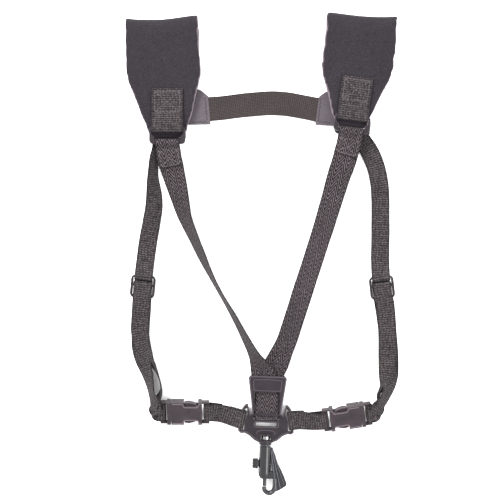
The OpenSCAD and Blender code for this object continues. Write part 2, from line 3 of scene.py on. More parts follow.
import bmesh
import bpy
import numpy as np
from mathutils import Matrix, Vector


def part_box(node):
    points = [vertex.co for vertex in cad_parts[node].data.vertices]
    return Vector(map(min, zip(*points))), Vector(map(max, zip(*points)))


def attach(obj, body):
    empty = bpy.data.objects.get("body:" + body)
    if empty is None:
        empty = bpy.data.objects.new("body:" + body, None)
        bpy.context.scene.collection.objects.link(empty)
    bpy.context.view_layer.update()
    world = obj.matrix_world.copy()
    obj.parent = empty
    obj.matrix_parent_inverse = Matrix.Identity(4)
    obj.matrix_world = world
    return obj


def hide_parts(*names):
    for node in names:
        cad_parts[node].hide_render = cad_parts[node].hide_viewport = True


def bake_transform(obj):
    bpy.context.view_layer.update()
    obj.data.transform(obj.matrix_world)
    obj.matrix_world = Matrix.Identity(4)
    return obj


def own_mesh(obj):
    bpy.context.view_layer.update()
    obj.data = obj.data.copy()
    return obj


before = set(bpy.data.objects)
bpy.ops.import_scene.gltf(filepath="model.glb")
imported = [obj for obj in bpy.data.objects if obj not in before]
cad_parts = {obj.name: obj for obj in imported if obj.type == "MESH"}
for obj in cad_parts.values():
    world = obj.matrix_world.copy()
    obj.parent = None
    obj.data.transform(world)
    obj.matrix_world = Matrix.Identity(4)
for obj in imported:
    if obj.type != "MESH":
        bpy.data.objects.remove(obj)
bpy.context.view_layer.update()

MM = 0.001
STRAP_W, STRAP_T = 19.0, 1.5
TAPE_W, TAPE_T = 25.0, 1.3
TAB_W = 32.0
BAND_W, BAND_T = 25.0, 1.2


# ---- the floor, light and camera --------------------------------------------------
FLOOR_REACH = 3.0
FLOOR_TONE = 0.93
WORLD_LIGHT = 2.3
# Name, place in metres, power in watts and width in metres
LAMPS = [
    ("key", (-0.8, 1.0, 1.3), 56, 0.6),
    ("fill", (1.1, -0.5, 1.2), 22, 0.8),
]
CAMERA_HEIGHT = 1.25
# The view takes in 515 mm at the height of the object's middle, a little left of its centre
VIEW_WIDTH = 0.515
VIEW_X, VIEW_Y = -0.0131, 0.0067
MIDDLE_HEIGHT = 0.01
SENSOR = 36
CAMERA_LENS = SENSOR * (CAMERA_HEIGHT - MIDDLE_HEIGHT) / VIEW_WIDTH


def stage_and_camera():
    mesh = bpy.data.meshes.new("floor")
    size = FLOOR_REACH
    corners = [(-size, -size, 0), (size, -size, 0), (size, size, 0), (-size, size, 0)]
    mesh.from_pydata(corners, [], [(0, 1, 2, 3)])
    floor = bpy.data.objects.new("floor", mesh)
    bpy.context.collection.objects.link(floor)
    paint = bpy.data.materials.new("floor_paint")
    paint.use_nodes = True
    shader = paint.node_tree.nodes["Principled BSDF"]
    shader.inputs["Base Color"].default_value = (*grey(FLOOR_TONE), 1)
    shader.inputs["Roughness"].default_value = 0.9
    mesh.materials.append(paint)

    world = bpy.data.worlds.new("studio")
    world.use_nodes = True
    world.node_tree.nodes["Background"].inputs["Color"].default_value = (1, 1, 1, 1)
    world.node_tree.nodes["Background"].inputs["Strength"].default_value = WORLD_LIGHT
    bpy.context.scene.world = world
    for name, place, energy, width in LAMPS:
        lamp = bpy.data.lights.new(name, "AREA")
        lamp.energy = energy
        lamp.size = width
        holder = bpy.data.objects.new(name, lamp)
        holder.location = place
        holder.rotation_euler = (-Vector(place)).to_track_quat("-Z", "Y").to_euler()
        bpy.context.collection.objects.link(holder)

    camera = bpy.data.cameras.new("camera")
    camera.lens = CAMERA_LENS
    camera.sensor_width = SENSOR
    eye = bpy.data.objects.new("camera", camera)
    eye.location = (VIEW_X, VIEW_Y, CAMERA_HEIGHT)
    bpy.context.collection.objects.link(eye)
    bpy.context.scene.camera = eye
    bpy.context.scene.view_settings.view_transform = "Standard"


# ---- materials --------------------------------------------------------------------
def nodes_of(name):
    made = bpy.data.materials.new(name)
    made.use_nodes = True
    tree = made.node_tree
    return made, tree, tree.nodes["Principled BSDF"]


def noise(tree, scale, detail=3.0, rough=0.55):
    place = tree.nodes.new("ShaderNodeTexCoord")
    node = tree.nodes.new("ShaderNodeTexNoise")
    node.inputs["Scale"].default_value = scale
    node.inputs["Detail"].default_value = detail
    node.inputs["Roughness"].default_value = rough
    tree.links.new(place.outputs["Object"], node.inputs["Vector"])
    return node.outputs["Fac"]


def ramp(tree, source, stops):
    node = tree.nodes.new("ShaderNodeValToRGB")
    tree.links.new(source, node.inputs["Fac"])
    line = node.color_ramp
    while len(line.elements) < len(stops):
        line.elements.new(0.5)
    for element, (place, colour) in zip(line.elements, stops):
        element.position = place
        element.color = (*colour, 1)
    return node.outputs["Color"]


def math_node(tree, kind, a, b):
    node = tree.nodes.new("ShaderNodeMath")
    node.operation = kind
    for socket, value in zip(node.inputs, (a, b)):
        if isinstance(value, (int, float)):
            socket.default_value = value
        else:
            tree.links.new(value, socket)
    return node.outputs[0]


def multiply(tree, colour, tint):
    node = tree.nodes.new("ShaderNodeMix")
    node.data_type = "RGBA"
    node.blend_type = "MULTIPLY"
    node.inputs[0].default_value = 1.0
    tree.links.new(colour, node.inputs[6])
    tree.links.new(tint, node.inputs[7])
    return node.outputs[2]


def bump(tree, shader, height, distance, strength=0.6):
    node = tree.nodes.new("ShaderNodeBump")
    node.inputs["Distance"].default_value = distance
    node.inputs["Strength"].default_value = strength
    tree.links.new(height, node.inputs["Height"])
    tree.links.new(node.outputs["Normal"], shader.inputs["Normal"])


def grey(value):
    return (value, value, value)


def woven(name, low, high, roughness=0.92, sheen=0.03, yarn=2600, pebble=400, dark=0.4):
    """Cloth whose grooves are the low colour, painted shade, and whose yarn tops are the high
    one, a painted highlight.
    """
    made, tree, shader = nodes_of(name)
    tone_and_light_mask = tree.nodes.new("ShaderNodeAttribute")
    tone_and_light_mask.attribute_name = "tone_and_light_mask"
    fine = noise(tree, yarn, 2.0)
    tops = math_node(tree, "ADD", tone_and_light_mask.outputs["Fac"], math_node(tree, "MULTIPLY", fine, 0.5))
    middle = tuple((a + b) / 2 for a, b in zip(low, high))
    # Painted shade in the grooves, a painted highlight on the yarn tops
    colour = ramp(tree, tops, [(0.3, low), (0.75, middle), (1.15, high)])
    uneven = ramp(tree, noise(tree, pebble, 2.0), [(0.36, grey(dark)), (0.64, grey(1.0))])
    patchy = ramp(tree, noise(tree, 26, 3.0), [(0.25, grey(0.78)), (0.75, grey(1.0))])
    cloth = multiply(tree, multiply(tree, colour, uneven), patchy)
    tree.links.new(cloth, shader.inputs["Base Color"])
    shader.inputs["Roughness"].default_value = roughness
    shader.inputs["Sheen Weight"].default_value = sheen
    shader.inputs["Sheen Roughness"].default_value = 0.5
    shader.inputs["Specular IOR Level"].default_value = 0.06
    bump(tree, shader, fine, 0.00025, 0.7)
    return made


def knit(name, base, light, grain, sheen=0.04, roughness=0.95, edge=None):
    """Smooth close cloth or thread: a faint grain, soft mottling and a low sheen."""
    made, tree, shader = nodes_of(name)
    fine = noise(tree, grain, 4.0, 0.7)
    colour = ramp(tree, fine, [(0.3, base), (0.75, light)])
    patchy = ramp(tree, noise(tree, 18, 4.0, 0.6), [(0.3, grey(0.84)), (0.72, grey(1.0))])
    cloth = multiply(tree, colour, patchy)
    if edge:
        cloth = cut_edge_and_highlight(tree, cloth, edge)
    tree.links.new(cloth, shader.inputs["Base Color"])
    shader.inputs["Roughness"].default_value = roughness
    shader.inputs["Sheen Weight"].default_value = sheen
    shader.inputs["Sheen Roughness"].default_value = 0.6
    shader.inputs["Specular IOR Level"].default_value = 0.06
    bump(tree, shader, fine, 0.0002, 0.6)
    return made


# On the pads the edge colour is the cut foam's own; on moulded parts it is a painted highlight
def cut_edge_and_highlight(tree, cloth, edge):
    """Mixes the edge colour in where the piece's "weave" value is 1."""
    mark = tree.nodes.new("ShaderNodeAttribute")
    mark.attribute_name = "tone_and_light_mask"
    mix = tree.nodes.new("ShaderNodeMix")
    mix.data_type = "RGBA"
    tree.links.new(mark.outputs["Fac"], mix.inputs[0])
    tree.links.new(cloth, mix.inputs[6])
    mix.inputs[7].default_value = (*edge, 1)
    return mix.outputs[2]


def moulded(name, base, light, edge, roughness, shine=0.25, coat=0.0, grain=1800, depth=0.00004):
    """Moulded plastic: fine tool grain, worn patches of uneven roughness, and a highlight painted
    on the rounded edges.
    """
    made, tree, shader = nodes_of(name)
    cloud = noise(tree, 70, 4.0, 0.6)
    colour = ramp(tree, cloud, [(0.3, base), (0.78, light)])
    tree.links.new(cut_edge_and_highlight(tree, colour, edge), shader.inputs["Base Color"])
    # Worn patches vary only the roughness
    rub_and_highlight = ramp(tree, noise(tree, 160, 3.0),
                  [(0.3, grey(roughness - 0.06)), (0.7, grey(roughness + 0.08))])
    tree.links.new(rub_and_highlight, shader.inputs["Roughness"])
    shader.inputs["Specular IOR Level"].default_value = shine
    shader.inputs["Coat Weight"].default_value = coat
    shader.inputs["Coat Roughness"].default_value = 0.12
    bump(tree, shader, noise(tree, grain, 2.0), depth, 0.4)
    return made


def metal(name, tone, roughness):
    """Steel with an uneven tone and a faintly rough surface."""
    made, tree, shader = nodes_of(name)
    colour = ramp(tree, noise(tree, 300, 3.0), [(0.3, grey(tone * 0.8)), (0.7, grey(tone))])
    tree.links.new(colour, shader.inputs["Base Color"])
    shader.inputs["Metallic"].default_value = 1.0
    shader.inputs["Roughness"].default_value = roughness
    bump(tree, shader, noise(tree, 900, 2.0), 0.00002, 0.3)
    return made


# ---- webbing: a woven ribbon swept along given stations ----------------------------
# A station is [x, y, z, azimuth, tilt]: millimetres, then degrees of the strip's width
FINE = 16


def vector_stations(route):
    """Stations with the strip's width as a vector instead of two angles."""
    out = []
    for x, y, z, azimuth, tilt in route:
        a, b = math.radians(azimuth), math.radians(tilt)
        out.append([x, y, z, math.cos(a) * math.cos(b), math.sin(a) * math.cos(b), math.sin(b)])
    return np.array(out)


def dense(points, count):
    """A smooth curve through the points, with count steps from each to the next."""
    rows = []
    last = len(points) - 1
    for i in range(last):
        a, b = points[max(i - 1, 0)], points[i]
        c, d = points[i + 1], points[min(i + 2, last)]
        for k in range(count):
            t = k / count
            rows.append(0.5 * (2 * b + (c - a) * t + (2 * a - 5 * b + 4 * c - d) * t * t
                               + (3 * b - a - 3 * c + d) * t ** 3))
    rows.append(points[last])
    return np.array(rows)


def evenly(route, step):
    """Centre, along, wide and up vectors at even steps down the strip, and the distances."""
    rows = dense(vector_stations(route), FINE)
    gaps = np.linalg.norm(np.diff(rows[:, :3], axis=0), axis=1)
    run = np.concatenate([[0], np.cumsum(gaps)])
    count = max(int(round(run[-1] / step)), 4)
    s = np.linspace(0, run[-1], count + 1)
    rows = np.stack([np.interp(s, run, rows[:, k]) for k in range(6)], axis=1)
    centre = rows[:, :3]
    along = np.gradient(centre, axis=0)
    along /= np.linalg.norm(along, axis=1)[:, None]
    wide = rows[:, 3:] - (rows[:, 3:] * along).sum(1)[:, None] * along
    wide /= np.linalg.norm(wide, axis=1)[:, None]
    return centre, along, wide, np.cross(along, wide), s


def triangle_wave(x):
    return 2 * np.abs(x / 2 - np.floor(x / 2 + 0.5))


def cross_ribs(pitch, column=3.1, depth=0.22):
    """Plain webbing: uneven ribs across the width, broken by fine lengthwise columns."""
    def height(a, s, w):
        lean = 0.9 * np.sin(2 * math.pi * a / 5.3 + s / 4.1) + 0.5 * np.sin(a * 2.3 - s / 1.9)
        rib = 0.5 + 0.5 * np.cos(2 * math.pi * s / pitch + lean)
        lines = 0.5 + 0.5 * np.cos(2 * math.pi * a / column + 1.6 * np.sin(s / 2.7))
        edge = np.clip((w / 2 - np.abs(a)) / 1.4, 0, 1)
        return (0.62 * rib + 0.38 * lines) * (0.5 + 0.5 * edge), depth
    return height


def herringbone(pitch, column, depth=0.26):
    """Twill whose diagonal lines turn back at each column."""
    def height(a, s, w):
        slant = triangle_wave(a / column) * column * 1.95
        line = 0.5 + 0.5 * np.cos(2 * math.pi * (s + slant) / pitch)
        edge = np.clip((w / 2 - np.abs(a)) / 1.2, 0, 1)
        return line ** 1.5 * (0.4 + 0.6 * edge), depth
    return height


def knitted(pitch, depth=0.06):
    """Elastic: close lengthwise cords crossed by faint bands."""
    def height(a, s, w):
        cords = 0.5 + 0.5 * np.cos(2 * math.pi * a / pitch)
        bands = 0.5 + 0.5 * np.cos(2 * math.pi * s / (pitch * 1.3))
        return 0.6 * cords + 0.4 * bands, depth
    return height


def section(width, thick, across):
    """Points round the strip's cross-section and whether each lies on a broad face."""
    r = thick / 2
    flat = width / 2 - r
    top = [(a, r, 1) for a in np.linspace(-flat, flat, across + 1)]
    right = [(flat + r * math.sin(q), r * math.cos(q), 0) for q in (0.8, 1.57, 2.34)]
    under = [(a, -r, -1) for a in np.linspace(flat, -flat, across + 1)]
    left = [(-flat - r * math.sin(q), -r * math.cos(q), 0) for q in (0.8, 1.57, 2.34)]
    return top + right + under + left


def ribbon(name, route, width, thick, height, step=0.5, across=14, cut=(0, 1), wander=0.12):
    """The woven strip between two shares of its route's length."""
    centre, along, wide, up, s = evenly(route, step)
    keep = (s >= cut[0] * s[-1] - step / 2) & (s <= cut[1] * s[-1] + step / 2)
    centre, along, wide, up, s = centre[keep], along[keep], wide[keep], up[keep], s[keep]
    ring = section(width, thick, across)
    a = np.array([p[0] for p in ring])
    b = np.array([p[1] for p in ring])
    face = np.array([p[2] for p in ring], float)
    grid_a, grid_s = np.meshgrid(a, s)
    tops, depth = height(grid_a, grid_s, width)
    waver = wander * (np.sin(grid_s / 11.0 + 1.3) + np.sin(grid_s / 6.3 + np.sign(grid_a)))
    side = grid_a * (1 + waver / width)
    lift = b[None, :] + face[None, :] * depth * (tops - 1)
    points = (centre[:, None, :] + wide[:, None, :] * side[:, :, None]
              + up[:, None, :] * lift[:, :, None])
    rows, count = len(s), len(ring)
    faces = []
    for i in range(rows - 1):
        for k in range(count):
            n = (k + 1) % count
            faces.append((i * count + k, i * count + n, (i + 1) * count + n, (i + 1) * count + k))
    faces.append(tuple(reversed(range(count))))
    faces.append(tuple((rows - 1) * count + k for k in range(count)))
    mesh = bpy.data.meshes.new(name)
    mesh.from_pydata((points.reshape(-1, 3) * MM).tolist(), [], faces)
    # The relief height also sets the colour: painted shade in the grooves, a painted highlight on
    # the yarn tops
    tone_and_light_mask = mesh.attributes.new("tone_and_light_mask", "FLOAT", "POINT")
    tone_and_light_mask.data.foreach_set("value", tops.reshape(-1).astype(np.float32))
    return finished(name, mesh)


def finished(name, mesh, smooth=True):
    """An object in the scene whose faces all point outwards."""
    form = bmesh.new()
    form.from_mesh(mesh)
    bmesh.ops.recalc_face_normals(form, faces=form.faces)
    form.to_mesh(mesh)
    form.free()
    if smooth:
        mesh.polygons.foreach_set("use_smooth", [True] * len(mesh.polygons))
    piece = bpy.data.objects.new(name, mesh)
    bpy.context.collection.objects.link(piece)
    return piece


def dress(piece, finish, replaces=()):
    """The piece's finish and the CAD nodes it stands for."""
    piece.data.materials.clear()
    piece.data.materials.append(FINISHES[finish])
    if replaces:
        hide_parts(*replaces)
    return piece


def applied(piece):
    """Turns the piece's modifiers into mesh."""
    graph = bpy.context.evaluated_depsgraph_get()
    mesh = bpy.data.meshes.new_from_object(piece.evaluated_get(graph))
    piece.modifiers.clear()
    piece.data = mesh
    return piece


# ---- moulded and metal parts --------------------------------------------------------
def welded_copy(name, node):
    """The CAD node's mesh in a new object, welded and with its flat faces joined up."""
    form = bmesh.new()
    form.from_mesh(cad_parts[node].data)
    bmesh.ops.remove_doubles(form, verts=form.verts, dist=0.00002)
    bmesh.ops.dissolve_limit(form, angle_limit=math.radians(1.5), verts=form.verts,
                             edges=form.edges)
    mesh = bpy.data.meshes.new(name)
    form.to_mesh(mesh)
    form.free()
    return finished(name, mesh, smooth=False)


# Stand-ins that tell flat faces from rounded ones until the piece has its finish
MARKS = [bpy.data.materials.new(label) for label in ("flat", "rounded")]


# The marked bevels get a painted highlight: each finish mixes its edge colour in there
def rounded_edges(piece, bevel, segments=3, angle=32):
    """Bevels the piece's sharp edges, bevel in millimetres, and marks them."""
    for mark in MARKS:
        piece.data.materials.append(mark)
    rounding = piece.modifiers.new("rounding", "BEVEL")
    rounding.material = 1
    rounding.width = bevel * MM
    rounding.segments = segments
    rounding.limit_method = "ANGLE"
    rounding.angle_limit = math.radians(angle)
    rounding.harden_normals = True
    rounding.use_clamp_overlap = True
    applied(piece)
    mark_rounded(piece.data)
    piece.data.polygons.foreach_set("use_smooth", [True] * len(piece.data.polygons))
    flat = piece.modifiers.new("flat", "WEIGHTED_NORMAL")
    flat.keep_sharp = True
    return applied(piece)


def hard(node, body, slot, bevel):
    """A moulded part with its edges rounded off."""
    piece = rounded_edges(welded_copy(node + "_part", node), bevel)
    dress(piece, slot, [node])
    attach(piece, body)
    return piece


# The mask says where a highlight is painted on the bevels
def mark_rounded(mesh):
    """Sets "weave" to 1 on the rounded edges and 0 on the flats."""
    value = np.ones(len(mesh.vertices), np.float32)
    rounded = np.zeros(len(mesh.vertices), bool)
    for face in mesh.polygons:
        if face.material_index == 1:
            rounded[list(face.vertices)] = True
        else:
            value[list(face.vertices)] = 0
        face.material_index = 0
    value[~rounded] = 0
    tone_and_light_mask = mesh.attributes.new("tone_and_light_mask", "FLOAT", "POINT")
    tone_and_light_mask.data.foreach_set("value", value)


# ---- rods, plates and beads of the centre group, drawn about the group's own axis ------
CENTRE, CENTRE_TURN = (4.4, -150, 6.6), -2
# The gate's spring closes up against the blind end of the bore, to its solid height:
# five turns of 0.5 mm wire out of a length of 7.5 mm. The joint travels further than this
# leaves room for, so at full travel the bolt runs into the spring.
# The barrel is kept above this line, and the eye below it is a rod
EYE_TOP = -78.9
EYE = [[11.2, -75, 0], [11.3, -80, 0], [11.3, -86, 0], [10.2, -91, 0], [6.6, -94, 0],
       [2.6, -93.4, 0], [0.3, -90.8, 0], [0, -87.6, 0]]
EYE_TAPER = (1, 1, 1, 1.02, 1.04, 1, 0.96, 0.9)
HOOK_BEVEL = 0.6
WING = [[3, -47], [7.4, -47], [10.9, -55.7], [13.4, -63], [18.1, -71.5], [23.4, -83.2],
        [23, -86], [18, -89.6], [13, -92.4], [9, -88], [9, -72], [5, -60]]
WING_T = 3.0
# Start and end of each rib, and how bright a highlight is painted on its top
WING_RIBS = [([5.8, -49, 0], [12.9, -91, 0], 1.6), ([7, -49, 0], [16.8, -88.5, 0], 1.3),
             ([8.8, -54, 0], [20.6, -85.2, 0], 0.5)]
RIB_TAPER = (0.8, 0.95, 0.8)
BUCKLES = {"left": ((-55, -160, 9.8), 180, -20), "right": ((62, -168.5, 9.8), 8.5, 20)}
BUCKLE_Z = 5.0
NOTCH_LINE = [(8.6, 10.9), (9.6, 10.9), (10.6, 10.2), (11.6, 7.9), (13, 7.2), (18.7, 7.2),
              (24.4, 7.2), (25.9, 7.9), (27, 10.2), (28.2, 10.9), (33, 10.9), (38, 10.9)]
SLIDE_Z, PLATE_Z = 5.0, 2.0
SLIDE_RIM = [(-14.2, -12.6), (-15.2, -2), (-17.8, 16), (-18.4, 23.6), (-16.8, 25.8), (0, 26.1),
             (16.8, 25.8), (18.4, 23.6), (17.8, 16), (15.2, -2), (14.2, -12.6)]
PANEL_RIM = [(-13.6, 22.6), (0, 23.2), (13.6, 22.6), (14.6, 21), (13.8, 13.2), (12.6, 11.9),
             (0, 11.7), (-12.6, 11.9), (-13.8, 13.2), (-14.6, 21)]
SLOT_RIM = [(-11.2, -20.9), (0, -20.7), (11.2, -20.9), (12.4, -23.4), (11, -26), (0, -26.2),
            (-11, -26), (-12.4, -23.4)]
ARCH = [(-9.6, -33.2), (-8.6, -30.6), (-5, -29.6), (0, -29.4), (5, -29.6), (8.6, -30.6),
        (9.6, -33.2)]
# Down one side of the plate, round its loop to the boss
PLATE_EDGE = [(16, -15), (17.6, -12.6), (19.6, -5.4), (21.6, -4), (24, -7.4), (26.4, -16),
              (27.5, -26), (27.4, -30.6), (25.6, -31.8), (22, -31.3), (16.4, -33.7),
              (11.2, -38.2), (7.2, -40.6)]
MIRRORED_EDGE = [(-x, y) for x, y in PLATE_EDGE]
# Name, body, outline, its height, the bead's width and height, and whether it closes
BEADS = [("slide_rim", "front_slide", SLIDE_RIM, SLIDE_Z, 1.5, 1.1, False),
         ("slide_panel_rim", "front_slide", PANEL_RIM, SLIDE_Z, 0.7, 0.35, True),
         ("plate_slot_rim", "harness", SLOT_RIM, PLATE_Z, 1.2, 1.0, True),
         ("plate_arch", "harness", ARCH, PLATE_Z, 1.3, 1.5, False),
         ("plate_left_bead", "harness", MIRRORED_EDGE, PLATE_Z, 1.2, 1.0, False),
         ("plate_right_bead", "harness", PLATE_EDGE, PLATE_Z, 1.2, 1.0, False)]


def at_centre(x, y, z):
    """Places a point given in millimetres in the centre group's own frame."""
    turn = math.radians(CENTRE_TURN)
    cx, cy, cz = CENTRE
    return Vector((cx + x * math.cos(turn) - y * math.sin(turn),
                   cy + x * math.sin(turn) + y * math.cos(turn), cz + z)) * MM


def rod(name, path, wide, high, rub_and_highlight=0.7, closed=False, sides=16, taper=(), place=at_centre):
    """A round rod along points [x, y, z]: wide across the path and high along z.
    taper scales its section at each point of the path, and a highlight of the given strength is
    painted on its top."""
    ring_path = np.array(path, float)
    scale = np.array(taper if len(taper) else [1.0] * len(path))
    if closed:
        ring_path = np.vstack([ring_path, ring_path[:1]])
        scale = np.append(scale, scale[0])
    rows = dense(np.column_stack([ring_path, scale]), 6)
    along = np.gradient(rows[:, :2], axis=0)
    along /= np.maximum(np.linalg.norm(along, axis=1), 1e-6)[:, None]
    form = bmesh.new()
    rings = []
    for (x, y, z, grow), (dx, dy) in zip(rows[:-1] if closed else rows, along):
        ring = []
        for k in range(sides):
            q = 2 * math.pi * k / sides
            side = math.cos(q) * wide / 2 * grow
            lift = math.sin(q) * high / 2 * grow
            ring.append(form.verts.new(place(x - dy * side, y + dx * side, z + lift)))
        rings.append(ring)
    pairs = list(zip(rings, rings[1:]))
    if closed:
        pairs.append((rings[-1], rings[0]))
    for one, two in pairs:
        for k in range(sides):
            n = (k + 1) % sides
            form.faces.new((one[k], one[n], two[n], two[k]))
    if not closed:
        form.faces.new(rings[0])
        form.faces.new(rings[-1])
    mesh = bpy.data.meshes.new(name)
    form.to_mesh(mesh)
    form.free()
    piece = finished(name, mesh)
    mark_tops(piece.data, rub_and_highlight)
    return piece


def mark_tops(mesh, rub_and_highlight):
    """Sets the mask attribute higher where the surface faces up: a highlight painted on the top
    of rods.
    """
    value = [max(v.normal.z, 0) ** 2 * rub_and_highlight for v in mesh.vertices]
    tone_and_light_mask = mesh.attributes.new("tone_and_light_mask", "FLOAT", "POINT")
    tone_and_light_mask.data.foreach_set("value", value)


def plate_piece(name, outline, thick, bevel):
    """A flat plate with the given outline, its edges rounded."""
    form = bmesh.new()
    low = [form.verts.new(at_centre(x, y, -thick / 2)) for x, y in outline]
    high = [form.verts.new(at_centre(x, y, thick / 2)) for x, y in outline]
    form.faces.new(low)
    form.faces.new(high)
    for k in range(len(outline)):
        n = (k + 1) % len(outline)
        form.faces.new((low[k], low[n], high[n], high[k]))
    mesh = bpy.data.meshes.new(name)
    form.to_mesh(mesh)
    form.free()
    piece = finished(name, mesh, smooth=False)
    return rounded_edges(piece, bevel)


def hook_pieces():
    """The barrel comes from the CAD; its flat eye and wing become rounder pieces."""
    barrel = welded_copy("hook_barrel", "hook_body")
    form = bmesh.new()
    form.from_mesh(barrel.data)
    down = at_centre(0, -1, 0) - at_centre(0, 0, 0)
    everything = list(form.verts) + list(form.edges) + list(form.faces)
    cut = bmesh.ops.bisect_plane(form, geom=everything, plane_co=at_centre(0, EYE_TOP, 0),
                                 plane_no=down, clear_outer=True)
    rim = [item for item in cut["geom_cut"] if isinstance(item, bmesh.types.BMEdge)]
    bmesh.ops.triangle_fill(form, edges=rim, use_beauty=True)
    bmesh.ops.recalc_face_normals(form, faces=form.faces)
    form.to_mesh(barrel.data)
    form.free()
    rounded_edges(barrel, HOOK_BEVEL)
    # The eye rod and the wing's ribs get a highlight painted on their tops
    pieces = [barrel, plate_piece("hook_wing", WING, WING_T, HOOK_BEVEL),
              rod("hook_eye_rod", EYE, 5.0, 6.2, rub_and_highlight=0.12, taper=EYE_TAPER)]
    for number, (start, end, rub_and_highlight) in enumerate(WING_RIBS):
        middle = [(a + b) / 2 for a, b in zip(start, end)]
        path = [start, middle, end]
        pieces.append(rod(f"hook_rib_{number}", path, 1.7, 7.2, rub_and_highlight=rub_and_highlight, taper=RIB_TAPER))
    for piece in pieces:
        dress(piece, "hook_plastic", ["hook_body"])
        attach(piece, "hook")


def beads():
    """Raised rims and ridges moulded on the slide and the plate."""
    for name, body, outline, z, wide, high, closed in BEADS:
        # Each bead gets the rod's default highlight painted on its top
        path = [[x, y, z] for x, y in outline]
        piece = dress(rod(name, path, wide, high, closed=closed), "plastic")
        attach(piece, body)


def at_buckle(side):
    """A function that places points given in a buckle's own frame."""
    where, turn, lean = BUCKLES[side]
    turned = Matrix.Rotation(math.radians(turn), 4, "Z")
    leaning = Matrix.Rotation(math.radians(lean), 4, "X")
    frame_of = Matrix.Translation(Vector(where) * MM) @ turned @ leaning
    return lambda x, y, z: frame_of @ (Vector((x, y, z)) * MM)


def buckle_beads():
    """The moulded line along each long side of a socket, dipping round the notch."""
    for side in BUCKLES:
        for edge in (-1, 1):
            path = [[x, edge * y, BUCKLE_Z] for x, y in NOTCH_LINE]
            label = f"{side}_socket_bead_{'upper' if edge > 0 else 'lower'}"
            # The bead's top gets a highlight painted at full strength
            bead = rod(label, path, 1.0, 0.8, rub_and_highlight=1.0, place=at_buckle(side))
            dress(bead, "buckle_plastic")
            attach(bead, "harness")


# ---- shoulder pads: cloth over foam, swollen by a cloth simulation ------------------
LEFT_CREST = [-1.7, -3.3, -3.9, -4.3, -3.9, -2.8, -1.0, 0.8, 2.0]
RIGHT_CREST = [4.9, 4.3, 2.7, 1.1, -0.3, -1.1, -1.3, -0.9, 0.1]
# The crest's shift grows from nothing over this stretch of y, in metres
CREST_FROM, CREST_OVER = 0.195, 0.05
# The front panel's end reaches this far down behind its ring, in millimetres
TONGUE, TONGUE_W = 4.0, 36.0
# In metres: the lowest point of the front panel, and where its end starts to reach down
FRONT_PANEL_Z, TONGUE_FROM, TONGUE_OVER = 0.006, 0.012, 0.010
PAD_VOXEL = 0.002
PAD_WIDER = 0.02
PAD_SHRINK = 0.0005
PAD_SWELL = 0.0009
CLOTH_STEPS = 20
# The pad's sides show as cut foam where their normals point this far along x
CUT_FROM, CUT_OVER = 0.55, 0.3


def pad(node, body, crest, tongue_at):
    """crest gives, in millimetres, how far the fold's top stands past the CAD fold
    at even steps from the pad's left side to its right."""
    piece = welded_copy(node + "_cover", node)
    shape = piece.modifiers.new("even", "REMESH")
    shape.mode = "VOXEL"
    shape.voxel_size = PAD_VOXEL
    applied(piece)
    form = bmesh.new()
    form.from_mesh(piece.data)
    bmesh.ops.smooth_vert(form, verts=form.verts, factor=0.5, use_axis_x=True,
                          use_axis_y=True, use_axis_z=True)
    form.normal_update()
    left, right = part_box(node)[0].x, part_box(node)[1].x
    places = np.linspace(left, right, len(crest))
    for v in form.verts:
        v.co -= v.normal * PAD_SHRINK
        v.co.x += (v.co.x - (left + right) / 2) * PAD_WIDER
        rise = min(max((v.co.y - CREST_FROM) / CREST_OVER, 0), 1)
        v.co.y += np.interp(v.co.x, places, crest) * MM * rise * rise
        v.co.y -= tongue(v.co, tongue_at)
    form.to_mesh(piece.data)
    form.free()
    start = [v.co.copy() for v in piece.data.vertices]
    cloth = piece.modifiers.new("cloth", "CLOTH")
    cloth.settings.use_pressure = True
    cloth.settings.uniform_pressure_force = 4
    cloth.settings.effector_weights.gravity = 0
    cloth.settings.tension_stiffness = 30
    cloth.settings.compression_stiffness = 30
    cloth.settings.bending_stiffness = 2
    cloth.point_cache.frame_start = 1
    cloth.point_cache.frame_end = CLOTH_STEPS
    for step in range(1, CLOTH_STEPS + 1):
        bpy.context.scene.frame_set(step)
    applied(piece)
    bpy.context.scene.frame_set(1)
    for v, home in zip(piece.data.vertices, start):
        move = v.co - home
        if move.length > PAD_SWELL:
            v.co = home + move.normalized() * PAD_SWELL
    finer = piece.modifiers.new("finer", "SUBSURF")
    finer.levels = 1
    finer.render_levels = 1
    applied(piece)
    mark_cut_edge(piece)
    piece.data.polygons.foreach_set("use_smooth", [True] * len(piece.data.polygons))
    dress(piece, "pad_cloth", [node])
    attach(piece, body)
    return piece


def tongue(point, centre):
    """How far down the front panel's end reaches behind the ring, in metres."""
    x, y = centre[0] * MM, centre[1] * MM
    across = abs(point.x - x) / (TONGUE_W / 2 * MM)
    if across > 1 or point.z < FRONT_PANEL_Z:
        return 0
    low = min(max((y + TONGUE_FROM - point.y) / TONGUE_OVER, 0), 1)
    return TONGUE * MM * low * (1 - across ** 8)


def mark_cut_edge(piece):
    """The cut sides of the foam show lighter than its two cloth faces."""
    mesh = piece.data
    value = np.zeros(len(mesh.vertices), np.float32)
    for v in mesh.vertices:
        value[v.index] = min(max((abs(v.normal.x) - CUT_FROM) / CUT_OVER, 0), 1)
    tone_and_light_mask = mesh.attributes.new("tone_and_light_mask", "FLOAT", "POINT")
    tone_and_light_mask.data.foreach_set("value", value)


# ---- stitches ------------------------------------------------------------------------
# Where a stitch starts and ends in its share of the line
STITCH_FROM, STITCH_TO = 0.12, 0.88


